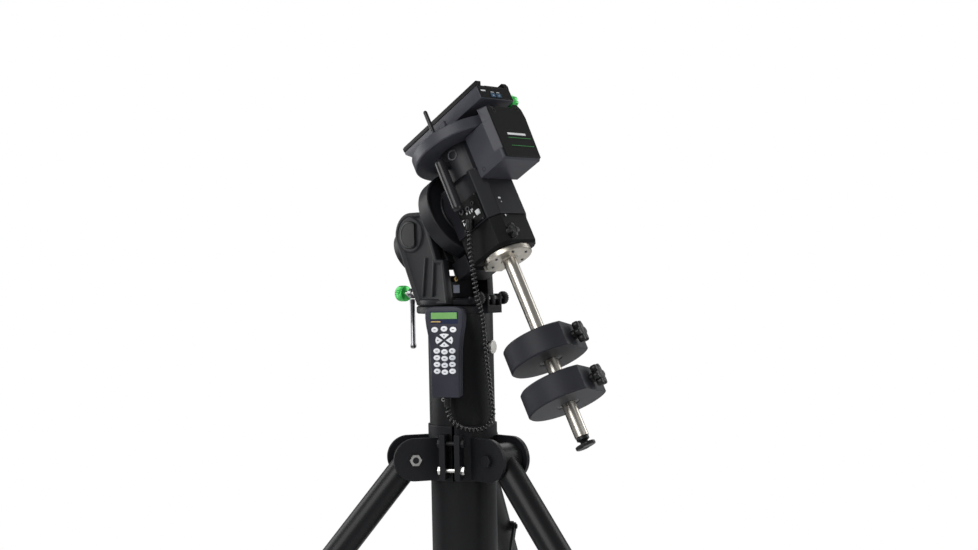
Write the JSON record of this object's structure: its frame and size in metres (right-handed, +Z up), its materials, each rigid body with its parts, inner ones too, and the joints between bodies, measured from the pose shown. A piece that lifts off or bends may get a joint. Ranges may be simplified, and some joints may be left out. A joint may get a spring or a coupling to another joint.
{
  "type": "equatorial telescope mount",
  "caption": "German equatorial telescope mount with dovetail saddle, counterweights, fork base and hand controller on a pier tripod with folding legs.",
  "frame": {"origin": "centre of the tripod's footprint on the floor", "axes": "+Z up, +X north, the way the polar axis leans"},
  "size_m": [1.0519, 1.2048, 1.5066],
  "materials": {
    "black_casting": "matte",
    "grey_casting": "satin",
    "pier_paint": "satin",
    "nickel_plate": "satin",
    "brushed_bar": "satin",
    "bolt_steel": "polished",
    "green_anodised": "satin",
    "rubber_black": "matte",
    "weight_coat": "matte",
    "black_plastic": "matte",
    "handset_plastic": "satin",
    "white_keys": "satin",
    "green_display": "gloss",
    "bearing_steel": "satin",
    "bronze": "satin",
    "cord_black": "satin",
    "chrome": "polished"
  },
  "bodies": {
    "tripod": {"pier_hub": "black_casting", "lower_column": "pier_paint", "pier_extension": "pier_paint", "pier_head": "black_casting", "hub_bolts": "bolt_steel", "handset_shell": "handset_plastic", "handset_display": "green_display", "handset_bracket": "black_plastic", "handset_cord": "cord_black", "cord_plug_handset": "cord_black"},
    "leg_a": {"leg_1": "pier_paint", "foot_1": "rubber_black"},
    "leg_b": {"leg_2": "pier_paint", "foot_2": "rubber_black"},
    "leg_c": {"leg_3": "pier_paint", "foot_3": "rubber_black"},
    "strut_a": {"strut_1": "pier_paint"},
    "strut_b": {"strut_2": "pier_paint"},
    "strut_c": {"strut_3": "pier_paint"},
    "collar": {"strut_collar": "black_plastic"},
    "azimuth_base": {"fork": "black_casting", "altitude_pivot_bolts": "black_plastic"},
    "altitude_screw": {"altitude_knob": "green_anodised"},
    "lock_lever": {"altitude_lever": "chrome"},
    "azimuth_screw_east": {"azimuth_knob_east": "black_plastic"},
    "azimuth_screw_west": {"azimuth_knob_west": "black_plastic"},
    "polar_head": {"ra_casing": "black_casting", "polar_cap": "black_plastic", "polar_bearings": "bearing_steel", "ra_motor": "black_plastic"},
    "polar_worm": {"ra_worm": "bearing_steel"},
    "declination_head": {"polar_shaft": "black_casting", "ra_worm_wheel": "bronze", "dec_housing": "black_casting", "dec_end_cap": "black_casting", "dec_bearings": "bearing_steel", "dec_motor_cover": "grey_casting", "dec_motor": "black_plastic", "connector_panel": "black_plastic", "bar_flange": "nickel_plate", "counterweight_bar": "brushed_bar", "cord_plug_mount": "cord_black"},
    "declination_worm": {"dec_worm": "bearing_steel"},
    "bar_lock": {"bar_lock_knob": "black_plastic"},
    "clutch_grip": {"clutch_handle": "black_plastic"},
    "weight_upper": {"counterweight_upper": "weight_coat"},
    "weight_lower": {"counterweight_lower": "weight_coat"},
    "weight_screw_upper": {"weight_knob_upper": "black_plastic"},
    "weight_screw_lower": {"weight_knob_lower": "black_plastic"},
    "bar_end_screw": {"safety_knob": "black_plastic"},
    "saddle_head": {"dec_disc": "grey_casting", "dec_worm_wheel": "bronze", "saddle": "grey_casting"},
    "jaw": {"saddle_jaw": "black_plastic"},
    "jaw_screw_north": {"saddle_knob_north": "green_anodised"},
    "jaw_screw_south": {"saddle_knob_south": "green_anodised"},
    "declination_clutch": {"dec_clutch_lever": "black_plastic"},
    "menu_keys": {"handset_menu_keys": "white_keys"},
    "arrow_keys": {"handset_arrow_keys": "white_keys"},
    "number_keys": {"handset_number_keys": "white_keys"}
  },
  "joints": [
    {"name": "leg_1_fold", "type": "hinge", "parent": "tripod", "child": "leg_a", "pos_m": [-0.04265, 0, 0.664], "axis": [0, 1, 0], "range_deg": [0, 40.25]},
    {"name": "strut_1_fold", "type": "hinge", "parent": "leg_a", "child": "strut_a", "pos_m": [0.14343, 0, 0.44419], "axis": [0, 1, 0], "range_deg": [-80.51, 0]},
    {"name": "leg_2_fold", "type": "hinge", "parent": "tripod", "child": "leg_b", "pos_m": [-0.22565, 0.10565, 0.664], "axis": [-0.866, -0.5, 0], "range_deg": [0, 40.25]},
    {"name": "strut_2_fold", "type": "hinge", "parent": "leg_b", "child": "strut_b", "pos_m": [-0.31869, 0.26681, 0.44419], "axis": [-0.866, -0.5, 0], "range_deg": [-80.51, 0]},
    {"name": "leg_3_fold", "type": "hinge", "parent": "tripod", "child": "leg_c", "pos_m": [-0.22565, -0.10565, 0.664], "axis": [0.866, -0.5, 0], "range_deg": [0, 40.25]},
    {"name": "strut_3_fold", "type": "hinge", "parent": "leg_c", "child": "strut_c", "pos_m": [-0.31869, -0.26681, 0.44419], "axis": [0.866, -0.5, 0], "range_deg": [-80.51, 0]},
    {"name": "collar_slide", "type": "slide", "parent": "tripod", "child": "collar", "axis": [0, 0, 1], "range_m": [-0.13648, 0]},
    {"name": "azimuth", "type": "hinge", "parent": "tripod", "child": "azimuth_base", "pos_m": [-0.16465, 0, 1.008], "axis": [0, 0, 1], "range_deg": [-6, 6], "deforming": ["handset_cord"]},
    {"name": "altitude", "type": "hinge", "parent": "azimuth_base", "child": "polar_head", "pos_m": [-0.23428, 0, 1.17131], "axis": [0, -1, 0], "range_deg": [-8, 37]},
    {"name": "altitude_knob_turn", "type": "hinge", "parent": "azimuth_base", "child": "altitude_screw", "pos_m": [-0.35465, 0, 1.036], "axis": [1, 0, 0], "continuous": true},
    {"name": "altitude_lever_swing", "type": "hinge", "parent": "azimuth_base", "child": "lock_lever", "pos_m": [-0.32765, 0, 1.036], "axis": [1, 0, 0], "range_deg": [-60, 60]},
    {"name": "azimuth_screw_east_travel", "type": "slide", "parent": "tripod", "child": "azimuth_screw_east", "axis": [0, 1, 0], "range_m": [-0.01058, 0.01058]},
    {"name": "azimuth_screw_west_travel", "type": "slide", "parent": "tripod", "child": "azimuth_screw_west", "axis": [0, 1, 0], "range_m": [-0.01058, 0.01058]},
    {"name": "right_ascension", "type": "hinge", "parent": "polar_head", "child": "declination_head", "pos_m": [-0.08065, 0, 1.253], "axis": [0.8829, 0, 0.4695], "range_deg": [-100, 100]},
    {"name": "ra_worm_turn", "type": "hinge", "parent": "polar_head", "child": "polar_worm", "pos_m": [-0.18368, 0, 1.13366], "axis": [0, 1, 0], "continuous": true},
    {"name": "declination", "type": "hinge", "parent": "declination_head", "child": "saddle_head", "pos_m": [-0.13417, 0, 1.35366], "axis": [-0.4695, 0, 0.8829], "continuous": true},
    {"name": "dec_worm_turn", "type": "hinge", "parent": "declination_head", "child": "declination_worm", "pos_m": [-0.0599, 0, 1.33539], "axis": [0, 1, 0], "continuous": true},
    {"name": "bar_lock_turn", "type": "hinge", "parent": "declination_head", "child": "bar_lock", "pos_m": [0.03595, -0.033, 1.17003], "axis": [0.8829, 0, 0.4695], "continuous": true},
    {"name": "clutch_handle_swing", "type": "hinge", "parent": "declination_head", "child": "clutch_grip", "pos_m": [-0.12174, -0.08, 1.32176], "axis": [0, 1, 0], "range_deg": [-25, 0]},
    {"name": "upper_weight_slide", "type": "slide", "parent": "declination_head", "child": "weight_upper", "axis": [-0.4695, 0, 0.8829], "range_m": [-0.04, 0.12]},
    {"name": "lower_weight_slide", "type": "slide", "parent": "declination_head", "child": "weight_lower", "axis": [-0.4695, 0, 0.8829], "range_m": [-0.07, 0.04]},
    {"name": "upper_weight_knob_turn", "type": "hinge", "parent": "weight_upper", "child": "weight_screw_upper", "pos_m": [0.16671, 0.02736, 0.94792], "axis": [0.8297, 0.342, 0.4412], "continuous": true},
    {"name": "lower_weight_knob_turn", "type": "hinge", "parent": "weight_lower", "child": "weight_screw_lower", "pos_m": [0.21506, 0.02736, 0.85697], "axis": [0.8297, 0.342, 0.4412], "continuous": true},
    {"name": "safety_knob_turn", "type": "hinge", "parent": "declination_head", "child": "bar_end_screw", "pos_m": [0.20103, 0, 0.72323], "axis": [-0.4695, 0, 0.8829], "continuous": true},
    {"name": "saddle_knob_north_turn", "type": "hinge", "parent": "saddle_head", "child": "jaw_screw_north", "pos_m": [-0.06097, 0.057, 1.46733], "axis": [0, 1, 0], "range_deg": [0, 1440]},
    {"name": "saddle_knob_south_turn", "type": "hinge", "parent": "saddle_head", "child": "jaw_screw_south", "pos_m": [-0.24992, 0.057, 1.36686], "axis": [0, 1, 0], "range_deg": [0, 1440]},
    {"name": "jaw_slide", "type": "slide", "parent": "saddle_head", "child": "jaw", "axis": [0, 1, 0], "range_m": [-0.0101, 0]},
    {"name": "declination_lever_swing", "type": "hinge", "parent": "saddle_head", "child": "declination_clutch", "pos_m": [-0.13815, -0.094, 1.39095], "axis": [0, 1, 0], "range_deg": [-20, 20]},
    {"name": "menu_keys_press", "type": "slide", "parent": "tripod", "child": "menu_keys", "axis": [-0.4695, 0.8829, 0], "range_m": [0, 0.0015], "stiffness_N_per_m": 600},
    {"name": "arrow_keys_press", "type": "slide", "parent": "tripod", "child": "arrow_keys", "axis": [-0.4695, 0.8829, 0], "range_m": [0, 0.0015], "stiffness_N_per_m": 600},
    {"name": "number_keys_press", "type": "slide", "parent": "tripod", "child": "number_keys", "axis": [-0.4695, 0.8829, 0], "range_m": [0, 0.0015], "stiffness_N_per_m": 600}
  ],
  "couplings": [
    {"joint": "strut_1_fold", "follows": "leg_1_fold", "ratio": -2},
    {"joint": "leg_2_fold", "follows": "leg_1_fold", "ratio": 1},
    {"joint": "strut_2_fold", "follows": "leg_1_fold", "ratio": -2},
    {"joint": "leg_3_fold", "follows": "leg_1_fold", "ratio": 1},
    {"joint": "strut_3_fold", "follows": "leg_1_fold", "ratio": -2},
    {"joint": "collar_slide", "follows": "leg_1_fold", "m_per_rad": -0.19413},
    {"joint": "azimuth_screw_east_travel", "follows": "azimuth", "m_per_rad": 0.101},
    {"joint": "azimuth_screw_west_travel", "follows": "azimuth", "m_per_rad": 0.101},
    {"joint": "jaw_slide", "follows": "saddle_knob_north_turn", "m_per_rad": -0.00039789},
    {"joint": "saddle_knob_south_turn", "follows": "saddle_knob_north_turn", "ratio": 1}
  ]
}
